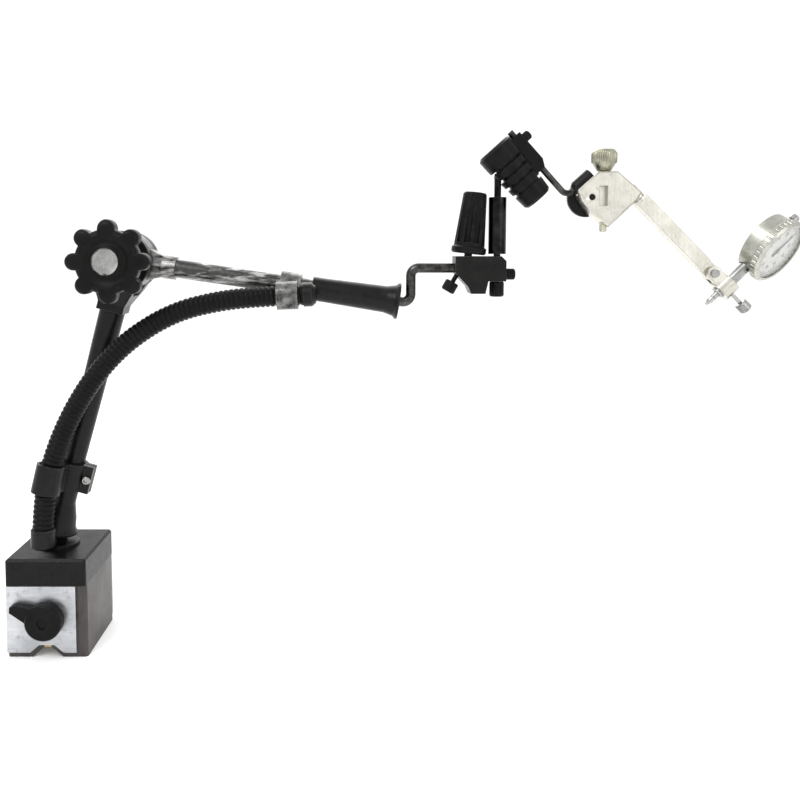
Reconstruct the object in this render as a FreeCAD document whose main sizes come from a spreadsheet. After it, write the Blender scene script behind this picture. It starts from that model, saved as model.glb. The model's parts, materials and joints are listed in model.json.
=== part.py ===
"""Dial indicator on a switchable magnetic base, with a locking two-link arm, a guard hose and swivel clamps.

Millimetres, +Z up. The origin is the middle of the magnetised sole. +X runs along the arms' reach,
and the switch knob is on the -Y side. Every sub-part is one object whose Label is its node's name.
"""
import FreeCAD, Part
import Sketcher
import math
import os
import re

V = FreeCAD.Vector
DOC = FreeCAD.newDocument("IndicatorStand")

# ------------------------------------------------------------------ driving dimensions (mm, degrees)
DIMS = {
    # magnetic base
    "base_wide": 50.0, "base_deep": 58.0, "base_high": 63.0, "cover_high": 17.0, "plate_thick": 2.0,
    "spacer_wide": 4.0, "core_rad": 15.0, "core_height": 25.0, "groove_wide": 19.0, "groove_high": 6.5,
    "run_gap": 0.06,
    # ball joints at the foot and at the wrist
    "ball_rad": 7.0, "seat_rad": 9.0, "bell_rad": 13.0, "neck_rad": 4.2, "foot_z": 77.0, "wrist_ball": 5.0,
    "wrist_seat": 6.6, "wrist_bell": 11.5,
    # arms and elbow
    "lower_root": 6.5, "lower_top": 8.0, "upper_root": 6.0, "upper_end": 5.7, "sleeve_long": 52.0,
    "bore_rad": 3.2, "push_rad": 2.6,
    "hub_rad": 19.0, "tongue_half": 6.0, "ear_thick": 7.5, "bolt_rad": 4.0,
    # star knob
    "knob_rad": 19.5, "lobe_ring": 20.0, "lobe_rad": 5.2, "knob_thick": 12.0, "knob_mid": 37.0, "cap_rad": 8.0,
    # hose
    "hose_rad": 6.6, "fitting_rad": 7.4, "lower_clip_wide": 18.0, "upper_clip_wide": 13.0,
    # rods and clamps
    "crank_rad": 3.1, "post_rad": 2.2, "grip_top": 7.4, "grip_foot": 11.0, "grip_high": 40.0,
    "barrel_big": 12.5, "barrel_small": 9.8, "barrel_long": 43.0, "link_rad": 2.0,
    "collar_rad": 4.4, "bar_flat": 68.8, "bar_pivot": 76.1,
    "sleeve_low": 15.4, "sleeve_high": 35.8, "sleeve_rad": 5.6,
    # dial indicator
    "case_rad": 20.0, "bezel_rad": 21.5, "stem_rad": 4.0, "stem_end": 44.0, "plunger_rad": 2.1, "plunger_end": 53.8,
    "rack_pinion": 1.0, "train_gear": 6.75, "centre_pinion": 1.07,
}
SHEET = DOC.addObject("Spreadsheet::Sheet", "Dims")
for row, (alias, size) in enumerate(DIMS.items(), start=1):
    SHEET.set(f"A{row}", alias)
    SHEET.set(f"B{row}", str(size))
    SHEET.setAlias(f"B{row}", alias)
DOC.recompute()

# ------------------------------------------------------------------ places of the joints (mm)
FOOT = V(-1.0, 0.0, DIMS["foot_z"])        # centre of the foot's ball
ELBOW = V(45.5, 0.0, 247.0)                # elbow pivot
WRIST = V(216.0, 0.0, 221.8)               # centre of the wrist's ball
SWITCH = V(0.0, 0.0, DIMS["core_height"])  # axis of the magnet's core
LOWER = (ELBOW - FOOT).normalize()
UPPER = (WRIST - ELBOW).normalize()
FRONT = V(0, -1, 0)
UP = V(0, 0, 1)
RIGHT = V(1, 0, 0)
PIECES = []


# ------------------------------------------------------------------ helpers
def bound(text):
    """An expression with each driving dimension's name written as a reference to the sheet."""
    return re.sub(r"[a-z_]{4,}", lambda word: "Dims." + word.group(0) if word.group(0) in DIMS else word.group(0),
                  str(text))


def number(text):
    """The value that an expression has now."""
    return float(SHEET.evalExpression(bound(text)))


def placed(at, axis=UP, across=None):
    """The placement that takes +Z to axis, and +X as near as it can to across, at a point."""
    axis = V(axis).normalize()
    across = V(across) if across else (RIGHT if abs(axis.x) < 0.9 else UP)
    side = axis.cross(across).normalize()
    across = side.cross(axis)
    turn = FreeCAD.Rotation(across, side, axis, "ZXY")
    return FreeCAD.Placement(V(at), turn)


def new_body(label, placement):
    """An empty body that becomes one sub-part."""
    body = DOC.addObject("PartDesign::Body", label)
    body.Label = label
    body.Placement = placement
    PIECES.append(body)
    return body


def new_sketch(body, plane):
    """A sketch on one of the body's own origin planes."""
    sketch = body.newObject("Sketcher::SketchObject", "Profile")
    support = [item for item in body.Origin.OriginFeatures if item.Role == plane][0]
    sketch.AttachmentSupport = [(support, "")]
    sketch.MapMode = "FlatFace"
    return sketch


def lift_sketch(sketch, lift):
    """Move a sketch off its plane by an expression's value."""
    if lift is not None:
        sketch.setExpression("AttachmentOffset.Base.z", bound(lift))


def fix_point(sketch, edge, end, x_text, y_text):
    """Hold one point of a sketch at a place given by two expressions."""
    for kind, text in (("DistanceX", x_text), ("DistanceY", y_text)):
        where = sketch.addConstraint(Sketcher.Constraint(kind, -1, 1, edge, end, number(text)))
        if re.search("[a-z]", str(text)):
            sketch.setExpression(f"Constraints[{where}]", bound(text))


def draw_outline(sketch, corners):
    """A closed outline of straight lines through corners given as pairs of expressions."""
    first = sketch.GeometryCount
    spots = [V(number(x), number(y), 0) for x, y in corners]
    count = len(spots)
    for index in range(count):
        sketch.addGeometry(Part.LineSegment(spots[index], spots[(index + 1) % count]), False)
    for index in range(count):
        after = first + (index + 1) % count
        sketch.addConstraint(Sketcher.Constraint("Coincident", first + index, 2, after, 1))
        fix_point(sketch, first + index, 1, *corners[index])


def draw_circle(sketch, x_text, y_text, radius):
    """A circle whose centre and radius are expressions."""
    edge = sketch.addGeometry(Part.Circle(V(number(x_text), number(y_text), 0), V(0, 0, 1), number(radius)), False)
    fix_point(sketch, edge, 3, x_text, y_text)
    where = sketch.addConstraint(Sketcher.Constraint("Radius", edge, number(radius)))
    if re.search("[a-z]", str(radius)):
        sketch.setExpression(f"Constraints[{where}]", bound(radius))


def turned(label, profile, placement):
    """A body of revolution about its own +Z, from (radius, height) corners."""
    body = new_body(label, placement)
    sketch = new_sketch(body, "XZ_Plane")
    draw_outline(sketch, profile)
    DOC.recompute()
    spin = body.newObject("PartDesign::Revolution", "Turned")
    spin.Profile = sketch
    spin.ReferenceAxis = (sketch, ["V_Axis"])
    spin.Angle = 360
    sketch.Visibility = False
    DOC.recompute()
    return body


def add_pad(body, length, outlines=(), circles=(), plane="XY_Plane", middle=False, back=False, lift=None):
    """A padded profile, on one side of its plane or on both, from the plane or a lifted copy of it."""
    sketch = new_sketch(body, plane)
    lift_sketch(sketch, lift)
    for corners in outlines:
        draw_outline(sketch, corners)
    for circle in circles:
        draw_circle(sketch, *circle)
    DOC.recompute()
    pad = body.newObject("PartDesign::Pad", "Pad")
    pad.Profile = sketch
    pad.Length = number(length)
    pad.setExpression("Length", bound(length))
    pad.Midplane = middle
    pad.Reversed = back
    DOC.recompute()
    return pad


def cut_pocket(body, length, outlines=(), circles=(), plane="XY_Plane", lift=None, back=False, through=False):
    """A pocket, from the plane or from a lifted copy of it, that has to remove something."""
    before = body.Shape.Volume
    sketch = new_sketch(body, plane)
    lift_sketch(sketch, lift)
    for corners in outlines:
        draw_outline(sketch, corners)
    for circle in circles:
        draw_circle(sketch, *circle)
    DOC.recompute()
    pocket = body.newObject("PartDesign::Pocket", "Pocket")
    pocket.Profile = sketch
    pocket.Reversed = back
    if through:
        pocket.Type = 1
        pocket.Midplane = True
    else:
        pocket.Length = number(length)
        pocket.setExpression("Length", bound(length))
    DOC.recompute()
    if body.Shape.Volume > before - 1e-3:
        raise RuntimeError(f"a pocket of {body.Label} cuts nothing")
    return pocket


def cut_groove(body, profile):
    """A groove turned about the body's +Z, that has to remove something."""
    before = body.Shape.Volume
    sketch = new_sketch(body, "XZ_Plane")
    draw_outline(sketch, profile)
    DOC.recompute()
    groove = body.newObject("PartDesign::Groove", "Groove")
    groove.Profile = sketch
    groove.ReferenceAxis = (sketch, ["V_Axis"])
    groove.Angle = 360
    DOC.recompute()
    if body.Shape.Volume > before - 1e-3:
        raise RuntimeError(f"a groove of {body.Label} cuts nothing")
    return groove


def block(label, wide, deep, high, placement):
    """A rectangular body, centred on its +Z axis, that stands on its own XY plane."""
    body = new_body(label, placement)
    add_pad(body, high, outlines=[box_corners(wide, deep)])
    return body


def box_corners(wide, deep, x="0", y="0"):
    """The corners of a rectangle about a middle point."""
    return [(f"{x}-({wide})/2", f"{y}-({deep})/2"), (f"{x}+({wide})/2", f"{y}-({deep})/2"),
            (f"{x}+({wide})/2", f"{y}+({deep})/2"), (f"{x}-({wide})/2", f"{y}+({deep})/2")]


def tube_profile(outer, inner, low, high):
    """The (radius, height) corners of a plain ring."""
    return [(inner, low), (outer, low), (outer, high), (inner, high)]


def rod_profile(radius, low, high, nose="0.4"):
    """The (radius, height) corners of a solid rod with chamfered ends."""
    return [("0", low), (f"{radius}-{nose}", low), (radius, f"{low}+{nose}"), (radius, f"{high}-{nose}"),
            (f"{radius}-{nose}", high), ("0", high)]


def add_ball(body, radius, cut=False):
    """A ball at the body's own origin, added or removed."""
    kind = "PartDesign::SubtractiveSphere" if cut else "PartDesign::AdditiveSphere"
    ball = body.newObject(kind, "Ball")
    ball.Radius = number(radius)
    ball.setExpression("Radius", bound(radius))
    DOC.recompute()
    return ball


def add_turned(body, profile):
    """One more body of revolution about the body's own +Z."""
    sketch = new_sketch(body, "XZ_Plane")
    draw_outline(sketch, profile)
    DOC.recompute()
    spin = body.newObject("PartDesign::Revolution", "Turned")
    spin.Profile = sketch
    spin.ReferenceAxis = (sketch, ["V_Axis"])
    spin.Angle = 360
    DOC.recompute()
    return spin


def repeat_around(body, feature, count):
    """The feature repeated round the body's own +Z."""
    pattern = body.newObject("PartDesign::PolarPattern", "Pattern")
    pattern.Originals = [feature]
    pattern.Axis = ([item for item in body.Origin.OriginFeatures if item.Role == "Z_Axis"][0], [""])
    pattern.Angle = 360
    pattern.Occurrences = count
    body.Tip = pattern
    DOC.recompute()
    return pattern


def ease_edges(body, size, chosen, kind="PartDesign::Chamfer"):
    """A chamfer or fillet on the edges that chosen accepts."""
    base = body.Tip
    names = [f"Edge{index}" for index, edge in enumerate(base.Shape.Edges, start=1) if chosen(edge)]
    if not names:
        raise RuntimeError(f"no edge of {body.Label} to ease")
    ease = body.newObject(kind, "Eased")
    ease.Base = (base, names)
    prop = "Size" if kind.endswith("Chamfer") else "Radius"
    setattr(ease, prop, number(size))
    ease.setExpression(prop, bound(size))
    DOC.recompute()
    return ease


def primitive(kind, sizes, at, axis=UP):
    """A Part primitive with its sizes bound to expressions."""
    shape = DOC.addObject(kind, "Blank")
    for prop, text in sizes.items():
        setattr(shape, prop, number(text))
        shape.setExpression(prop, bound(text))
    shape.Placement = placed(at, axis)
    return shape


def boolean(kind, label, base, tool):
    """A Part boolean that becomes a sub-part when it has a label."""
    result = DOC.addObject(kind, label or "Step")
    result.Base = base
    result.Tool = tool
    DOC.recompute()
    PIECES[:] = [piece for piece in PIECES if piece not in (base, tool)]
    if label:
        result.Label = label
        PIECES.append(result)
    return result


def drill(label, body, holes):
    """A sub-part cut from a body by round holes, each given as (start, axis, radius, length)."""
    drills = [primitive("Part::Cylinder", {"Radius": radius, "Height": str(length)}, at, axis)
              for at, axis, radius, length in holes]
    tool = drills[0]
    if len(drills) > 1:
        tool = DOC.addObject("Part::MultiFuse", "Drills")
        tool.Shapes = drills
    DOC.recompute()
    before = body.Shape.Volume
    result = boolean("Part::Cut", label, body, tool)
    if result.Shape.Volume > before - 1e-3:
        raise RuntimeError(f"the holes of {label} cut nothing")
    return result


def along(start, axis, distance):
    """The point at a distance from start along an axis."""
    return start + V(axis) * distance


# ------------------------------------------------------------------ magnetic base
SCREW_ROWS = (9, 42)


def make_pole(label, side):
    """One of the two steel pole pieces, with half of the core's bore and half of the sole's groove."""
    pole = new_body(label, placed(V(0, 0, 0)))
    add_pad(pole, "base_deep-2*plate_thick", plane="XZ_Plane", middle=True, outlines=[[
        (f"{side}*base_wide/2", "0"), (f"{side}*groove_wide/2", "0"), (f"{side}*spacer_wide/2", "groove_high"),
        (f"{side}*spacer_wide/2", "base_high-cover_high"), (f"{side}*base_wide/2", "base_high-cover_high")]])
    cut_pocket(pole, "base_deep", plane="XZ_Plane", through=True,
               circles=[("0", "core_height", "core_rad+run_gap")])

    cut_pocket(pole, "8.2", plane="XZ_Plane", lift="-(base_deep/2-plate_thick)", back=True,
               circles=[(f"{side}*21", str(height), "1.42") for height in SCREW_ROWS])

    def outer_upright(edge):
        box = edge.BoundBox
        return box.ZLength > 30 and abs(box.XMax - side * DIMS["base_wide"] / 2) < 0.01 and box.XLength < 0.01

    ease_edges(pole, "1.2", outer_upright)
    return pole


def make_spacer():
    """The brass strips above and below the core that keep the two poles apart."""
    deep = "base_deep-2*plate_thick"
    strip = primitive("Part::Box", {"Length": "spacer_wide", "Width": deep,
                                    "Height": "base_high-cover_high-groove_high"},
                      V(-DIMS["spacer_wide"] / 2, -DIMS["base_deep"] / 2 + DIMS["plate_thick"],
                        DIMS["groove_high"]))
    bore = primitive("Part::Cylinder", {"Radius": "core_rad+run_gap", "Height": "base_deep"},
                     SWITCH - FRONT * (DIMS["base_deep"] / 2), FRONT)
    boolean("Part::Cut", "pole_spacer", strip, bore)


def make_plate(label, left, right, facing, hole):
    """A face plate of the base, notched over the groove of the sole."""
    plate = new_body(label, placed(V(0, facing * DIMS["base_deep"] / 2, 0)))
    add_pad(plate, "plate_thick", plane="XZ_Plane", back=facing < 0, outlines=[[
        (left, "3.6"), ("-groove_wide/2-1", "3.6"), ("-groove_wide/4", "groove_high+2"),
        ("groove_wide/4", "groove_high+2"), ("groove_wide/2+1", "3.6"), (right, "3.6"),
        (right, "base_high-cover_high-0.3"), (left, "base_high-cover_high-0.3")]])
    if plate.Shape.BoundBox.Center.y * facing > DIMS["base_deep"] / 2:
        raise RuntimeError(f"{label} points out of the base")
    if hole:
        cut_pocket(plate, "4*plate_thick", plane="XZ_Plane", through=True, circles=[("0", "core_height", hole)])
    return plate


def make_cover():
    """The moulded cover on top of the poles, tapped for the ball stud."""
    high = DIMS["base_high"]
    cover = block("top_cover", "base_wide", "base_deep", "cover_high", placed(V(0, 0, high - DIMS["cover_high"])))
    cut_pocket(cover, "base_wide", circles=[(str(FOOT.x), "0", "3.9")], through=True)
    ease_edges(cover, "1.6", lambda edge: edge.BoundBox.ZLength > 10 and edge.BoundBox.XLength < 0.01
               and abs(edge.BoundBox.XMax) > 20, "PartDesign::Fillet")
    ease_edges(cover, "1.4", lambda edge: edge.BoundBox.ZMin > DIMS["cover_high"] - 0.01
               and edge.BoundBox.DiagonalLength > 2 and edge.BoundBox.XLength + edge.BoundBox.YLength > 9)
    return cover


def make_screws(label, spots, axis, head, shank, head_high, reach):
    """A group of separate button-headed screws, each with a hex recess."""
    solids = []
    for spot in spots:
        screw = Part.makeCylinder(shank, reach + 0.01, spot - axis * reach, axis)
        cap = Part.makeCylinder(head, head_high, spot, axis)
        rim = [edge for edge in cap.Edges if (edge.BoundBox.Center - spot).dot(axis) > head_high - 0.01]
        cap = cap.makeFillet(head_high * 0.45, [edge for edge in rim if edge.Length > head])
        corners = [V(math.cos(math.radians(60 * step)), math.sin(math.radians(60 * step)), 0) * head * 0.5
                   for step in range(7)]
        recess = Part.Face(Part.makePolygon(corners)).extrude(V(0, 0, head_high))
        recess.Placement = placed(spot + axis * head_high * 0.45, axis)
        solids.append(screw.fuse(cap).cut(recess).removeSplitter().Solids[0])
    group = DOC.addObject("Part::Feature", label)
    group.Label = label
    group.Shape = Part.makeCompound(solids)
    PIECES.append(group)
    return group


def make_base():
    """The magnetic base's fixed pieces."""
    make_pole("pole_left", -1)
    make_pole("pole_right", 1)
    make_spacer()
    make_plate("front_plate", "-base_wide/2+0.3", "18.4", -1, "5.6")
    rear_plate = make_plate("rear_plate", "-base_wide/2+0.3", "base_wide/2-0.3", 1, None)
    cut_pocket(rear_plate, "base_deep", plane="XZ_Plane", through=True,
               circles=[(str(x), str(z), "1.5") for x in (-21, 21) for z in SCREW_ROWS])
    make_cover()
    stud = new_body("ball_stud", placed(FOOT))
    add_ball(stud, "ball_rad")
    floor = "base_high-foot_z"
    add_turned(stud, [("0", f"{floor}-14"), ("3.88", f"{floor}-14"), ("3.88", floor), ("13", floor),
                      ("13", f"{floor}+1.2"), ("12.2", f"{floor}+2"), ("neck_rad+2", f"{floor}+2.6"),
                      ("neck_rad", f"{floor}+5"), ("neck_rad", "-4"), ("0", "-4")])
    corners = [(x, z) for x in (-21, 21) for z in SCREW_ROWS]
    rear = DIMS["base_deep"] / 2
    make_screws("plate_screws", [V(x, rear, z) for x, z in corners], V(0, 1, 0), 2.6, 1.4, 1.3, 8.0)


def make_switch():
    """The rotating magnet core and its knob."""
    half = "base_deep/2-plate_thick-0.4"
    slab = new_body("magnet_core", placed(SWITCH, FRONT, RIGHT))
    add_pad(slab, f"2*({half})", outlines=[box_corners("2*core_rad-4.2", "8")], middle=True)
    drum = primitive("Part::Cylinder", {"Radius": "core_rad", "Height": f"2*({half})"},
                     SWITCH - FRONT * number(half), FRONT)
    slot = primitive("Part::Box", {"Length": "2*core_rad", "Width": "base_deep", "Height": "8.04"},
                     SWITCH + V(-DIMS["core_rad"], -DIMS["base_deep"] / 2, -4.02))
    boolean("Part::Cut", "core_shoes", drum, slot)
    face = "base_deep/2+0.4"
    knob = turned("switch_knob", [("0", f"{half}+0.05"), ("5.2", f"{half}+0.05"), ("5.2", face), ("11.4", face),
                                  ("11.4", f"{face}+5.6"), ("10.6", f"{face}+6.4"), ("0", f"{face}+6.4")],
                  placed(SWITCH, FRONT, RIGHT))
    add_pad(knob, "5", lift=face, outlines=[[("-4.6", "-5.2"), ("6.5", "1"), ("5.2", "6.2"), ("-17.6", "10.9"),
                                            ("-20.6", "9.6"), ("-20.8", "6.2")]])
    cut_pocket(knob, "1.2", lift=f"{face}+6.4", circles=[("0", "0", "4")])
    return knob


# ------------------------------------------------------------------ lower arm, on the foot's ball
LOWER_LONG = ELBOW.distanceToPoint(FOOT)
UPPER_LONG = WRIST.distanceToPoint(ELBOW)


def make_ball_seat(label, centre, axis, ball, seat, low, high):
    """The liner that grips a ball, part of a spherical shell."""
    liner = new_body(label, placed(centre, axis))
    add_ball(liner, seat)
    add_ball(liner, f"{ball}+run_gap", cut=True)
    cut_pocket(liner, "30", lift=low, outlines=[box_corners("30", "30")])
    cut_pocket(liner, "30", lift=high, back=True, outlines=[box_corners("30", "30")])
    return liner


def make_bell(label, centre, axis, seat, rim, rim_low, spigot, waist, collar, high):
    """The flared housing that closes round a ball seat and takes the arm's tube in its collar."""
    bell = turned(label, [("0", rim_low), (rim, rim_low), (rim, f"{rim_low}+1.4"), (f"{rim}-1.6", f"{rim_low}+3"),
                          (waist, "5"), (collar, f"{high}-8"), (collar, high), ("0", high)],
                  placed(centre, axis))
    add_ball(bell, f"{seat}+run_gap", cut=True)
    cut_groove(bell, [("0", f"{rim_low}-1"), (f"{rim}-1.4", f"{rim_low}-1"), (f"{rim}-1.4", f"{rim_low}+0.4"),
                      (f"{seat}-0.4", "-2.2"), ("0", "-2.2")])
    cut_groove(bell, [("0", "2"), ("bore_rad", "2"), ("bore_rad", f"{high}-7"), (spigot, f"{high}-7"),
                      (spigot, f"{high}+1"), ("0", f"{high}+1")])
    return bell


def make_tube(label, start, axis, low, high, spigot, root, top, top_spigot):
    """A tapered arm tube with a spigot at each end and a bore for its push rod."""
    return turned(label, [("bore_rad", str(low)), (spigot, str(low)), (spigot, str(low + 7)),
                          (root, str(low + 7)), (top, str(high - 7)), (top_spigot, str(high - 7)),
                          (top_spigot, str(high)), ("bore_rad", str(high))], placed(start, axis))


def make_fork():
    """The elbow's fork: two ears on a bridge that takes the lower tube."""
    fork = new_body("elbow_fork", placed(ELBOW, -LOWER))
    wide = "2*(tongue_half+0.4+ear_thick)"
    add_pad(fork, wide, plane="XZ_Plane", middle=True, circles=[("0", "0", "hub_rad")])
    add_pad(fork, wide, plane="XZ_Plane", middle=True, outlines=[[
        ("-hub_rad*0.8", "hub_rad*0.6"), ("hub_rad*0.8", "hub_rad*0.6"), ("lower_top+0.6", "hub_rad+9"),
        ("lower_top+0.6", "hub_rad+14"), ("-lower_top-0.6", "hub_rad+14"), ("-lower_top-0.6", "hub_rad+9")]])
    for side in (-1, 1):
        cut_pocket(fork, "4*hub_rad", plane="YZ_Plane", through=True, outlines=[[
            (f"{side}*(lower_top+0.6)", "hub_rad+15"), (f"{side}*(lower_top+0.6)", "hub_rad+8"),
            (f"{side}*(tongue_half+ear_thick+1)", "hub_rad*0.8"), (f"{side}*30", "hub_rad*0.8"),
            (f"{side}*30", "hub_rad+15")]])
    face = "knob_mid-knob_thick/2-0.1"
    add_pad(fork, face, plane="XZ_Plane", back=True, circles=[("0", "0", "9.5")])
    add_pad(fork, "tongue_half+ear_thick+4", plane="XZ_Plane", back=True, circles=[("0", "0", "13")])
    cut_pocket(fork, "4*hub_rad", plane="YZ_Plane", through=True, outlines=[[
        ("-tongue_half-0.4", "-hub_rad-2"), ("tongue_half+0.4", "-hub_rad-2"),
        ("tongue_half+0.4", "hub_rad+0.6"), ("-tongue_half-0.4", "hub_rad+0.6")]])
    for front in (True, False):
        cut_pocket(fork, "40", plane="XZ_Plane", back=front, circles=[("0", "0", "bolt_rad")])
    cut_groove(fork, [("0", "hub_rad+0.5"), ("bore_rad", "hub_rad+0.5"), ("bore_rad", "hub_rad+6.9"),
                      ("5", "hub_rad+6.9"), ("5", "hub_rad+15"), ("0", "hub_rad+15")])
    return fork


def make_lower_arm():
    """The lower arm with its ball housing, tube, push rod and the elbow's fork."""
    make_ball_seat("foot_ball_seat", FOOT, LOWER, "ball_rad", "seat_rad", "-3", "6.6")
    make_bell("foot_socket", FOOT, LOWER, "seat_rad", "bell_rad", "-5", "5.04", "seat_rad+1.2", "lower_root+0.8", "23")
    fork_end = LOWER_LONG - DIMS["hub_rad"] - 7
    make_tube("lower_tube", FOOT, LOWER, 16.1, fork_end, "5", "lower_root", "lower_top", "4.96")
    turned("lower_push_rod", rod_profile("push_rad", "9.6", str(LOWER_LONG - DIMS["hub_rad"] - 1.2)),
           placed(FOOT, LOWER))
    make_fork()


# ------------------------------------------------------------------ elbow bolt and star knob
def make_elbow_fittings():
    """The bolt through the elbow, and the star knob that clamps the fork."""
    outer = "tongue_half+0.4+ear_thick"
    face = "knob_mid-knob_thick/2"
    bolt = turned("elbow_bolt", rod_profile("bolt_rad-0.02", f"-({outer})-0.05", f"{face}+knob_thick-0.8", "0.8"),
                  placed(ELBOW, FRONT))
    head = [(f"{7.4 * math.cos(math.radians(60 * step)):.4f}", f"{7.4 * math.sin(math.radians(60 * step)):.4f}")
            for step in range(6)]
    add_pad(bolt, "5.2", lift=f"-({outer})-0.05", back=True, outlines=[head])
    knob = turned("star_knob", [("bolt_rad+run_gap", face), ("knob_rad-2", face), ("knob_rad", f"{face}+2"),
                                ("knob_rad", f"{face}+knob_thick-2.5"), ("knob_rad-4", f"{face}+knob_thick"),
                                ("bolt_rad+run_gap", f"{face}+knob_thick")], placed(ELBOW, FRONT))
    lobe = add_pad(knob, "knob_thick-3", lift=f"{face}+1.5", circles=[("lobe_ring", "0", "lobe_rad")])
    repeat_around(knob, lobe, 8)
    turned("knob_cap", [("0", f"{face}+knob_thick"), ("cap_rad", f"{face}+knob_thick"),
                        ("cap_rad", f"{face}+knob_thick+2.2"), ("cap_rad-1.2", f"{face}+knob_thick+3.6"),
                        ("0", f"{face}+knob_thick+4.2")], placed(ELBOW, FRONT))


# ------------------------------------------------------------------ upper arm
def make_upper_arm():
    """The upper arm: elbow tongue, tube, push rod and the wrist's ball housing."""
    tongue = new_body("elbow_tongue", placed(ELBOW, UPPER))
    add_pad(tongue, "2*tongue_half", plane="XZ_Plane", middle=True, circles=[("0", "0", "hub_rad-0.2")])
    add_pad(tongue, "2*tongue_half", plane="XZ_Plane", middle=True, outlines=[[
        ("-12", "hub_rad*0.5"), ("12", "hub_rad*0.5"), ("upper_root", "hub_rad+8"), ("upper_root", "hub_rad+12"),
        ("-upper_root", "hub_rad+12"), ("-upper_root", "hub_rad+8")]])
    add_turned(tongue, [("0", "hub_rad+4"), ("upper_root+0.4", "hub_rad+4"), ("upper_root+1.4", "hub_rad+6"),
                        ("upper_root+1.4", "hub_rad+14"), ("0", "hub_rad+14")])
    cut_pocket(tongue, "4*hub_rad", plane="XZ_Plane", through=True, circles=[("0", "0", "bolt_rad+run_gap-0.02")])
    cut_groove(tongue, [("0", "hub_rad-12"), ("bore_rad", "hub_rad-12"), ("bore_rad", "hub_rad+6.9"),
                        ("5", "hub_rad+6.9"), ("5", "hub_rad+15"), ("0", "hub_rad+15")])
    tube_end = UPPER_LONG - DIMS["sleeve_long"] + 6.9
    make_tube("upper_tube", ELBOW, UPPER, DIMS["hub_rad"] + 7, tube_end, "4.96", "upper_root", "upper_end", "4.6")
    turned("upper_push_rod", rod_profile("push_rad", "hub_rad-11.8", str(UPPER_LONG - 7.2)), placed(ELBOW, UPPER))
    make_bell("wrist_socket", WRIST, -UPPER, "wrist_seat", "wrist_bell", "-4", "4.64", "8.5", "7.6", "sleeve_long")
    make_ball_seat("wrist_ball_seat", WRIST, -UPPER, "wrist_ball", "wrist_seat", "-2", "4.6")


# ------------------------------------------------------------------ guard hose and its clips
HOSE_ROUTE = [V(-3.6, -21.0, 70.5), V(-3.2, -20.6, 96.0), V(3.4, -18.2, 126.0), V(15.6, -16.8, 154.0),
              V(32.0, -16.4, 179.0), V(52.0, -16.0, 199.0), V(79.0, -15.4, 215.4), V(108.0, -15.0, 222.6),
              V(136.0, -15.0, 225.2), V(164.0, -15.0, 226.3)]


def bend_wire(points, share=None, bend=None):
    """Straight runs joined by tangent arcs, each of a given radius or as large as its two runs allow."""
    edges = []
    start = points[0]
    radii = []
    for before, corner, after in zip(points, points[1:], points[2:]):
        arriving = (corner - before).normalize()
        leaving = (after - corner).normalize()
        half = arriving.getAngle(leaving) / 2
        radius = bend or share * min(before.distanceToPoint(corner), corner.distanceToPoint(after)) / math.tan(half)
        reach = radius * math.tan(half)
        inner = (leaving - arriving).normalize()
        first = corner - arriving * reach
        last = corner + leaving * reach
        middle = corner + inner * (radius / math.cos(half) - radius)
        edges.append(Part.LineSegment(start, first).toShape())
        edges.append(Part.Arc(first, middle, last).toShape())
        radii.append(radius)
        start = last
    edges.append(Part.LineSegment(start, points[-1]).toShape())
    return Part.Wire(edges), radii


def make_hose():
    """The black hose that the two arms hold along its whole route."""
    wire, radii = bend_wire(HOSE_ROUTE, share=0.45)
    radius = DIMS["hose_rad"]
    heading = HOSE_ROUTE[1] - HOSE_ROUTE[0]
    section = Part.Wire(Part.makeCircle(radius, HOSE_ROUTE[0], heading))
    tube = wire.makePipeShell([section], True, False)
    expected = math.pi * radius ** 2 * wire.Length
    print("hose length", round(wire.Length, 1), "radii", [round(value) for value in radii])
    if abs(tube.Volume / expected - 1) > 0.01:
        raise RuntimeError("the hose's volume is not its section times its length")
    hose = DOC.addObject("Part::Feature", "hose")
    hose.Label = "hose"
    hose.Shape = tube
    PIECES.append(hose)


def make_hose_fittings():
    """The metal ferrules at the hose's two ends."""
    heading = HOSE_ROUTE[1] - HOSE_ROUTE[0]
    turned("hose_foot_ferrule", [("0", "-3"), ("5.6", "-3"), ("fitting_rad", "-1.6"), ("fitting_rad", "9"),
                                 ("hose_rad+0.05", "9"), ("hose_rad+0.05", "-0.05"), ("0", "-0.05")],
           placed(HOSE_ROUTE[0], heading))
    heading = HOSE_ROUTE[-1] - HOSE_ROUTE[-2]
    turned("hose_arm_ferrule", [("0", "0.05"), ("hose_rad+0.05", "0.05"), ("hose_rad+0.05", "-4"),
                                ("fitting_rad", "-4"), ("fitting_rad", "1.2"), ("5.4", "3.6"), ("0", "4.6")], placed(HOSE_ROUTE[-1], heading))


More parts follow.
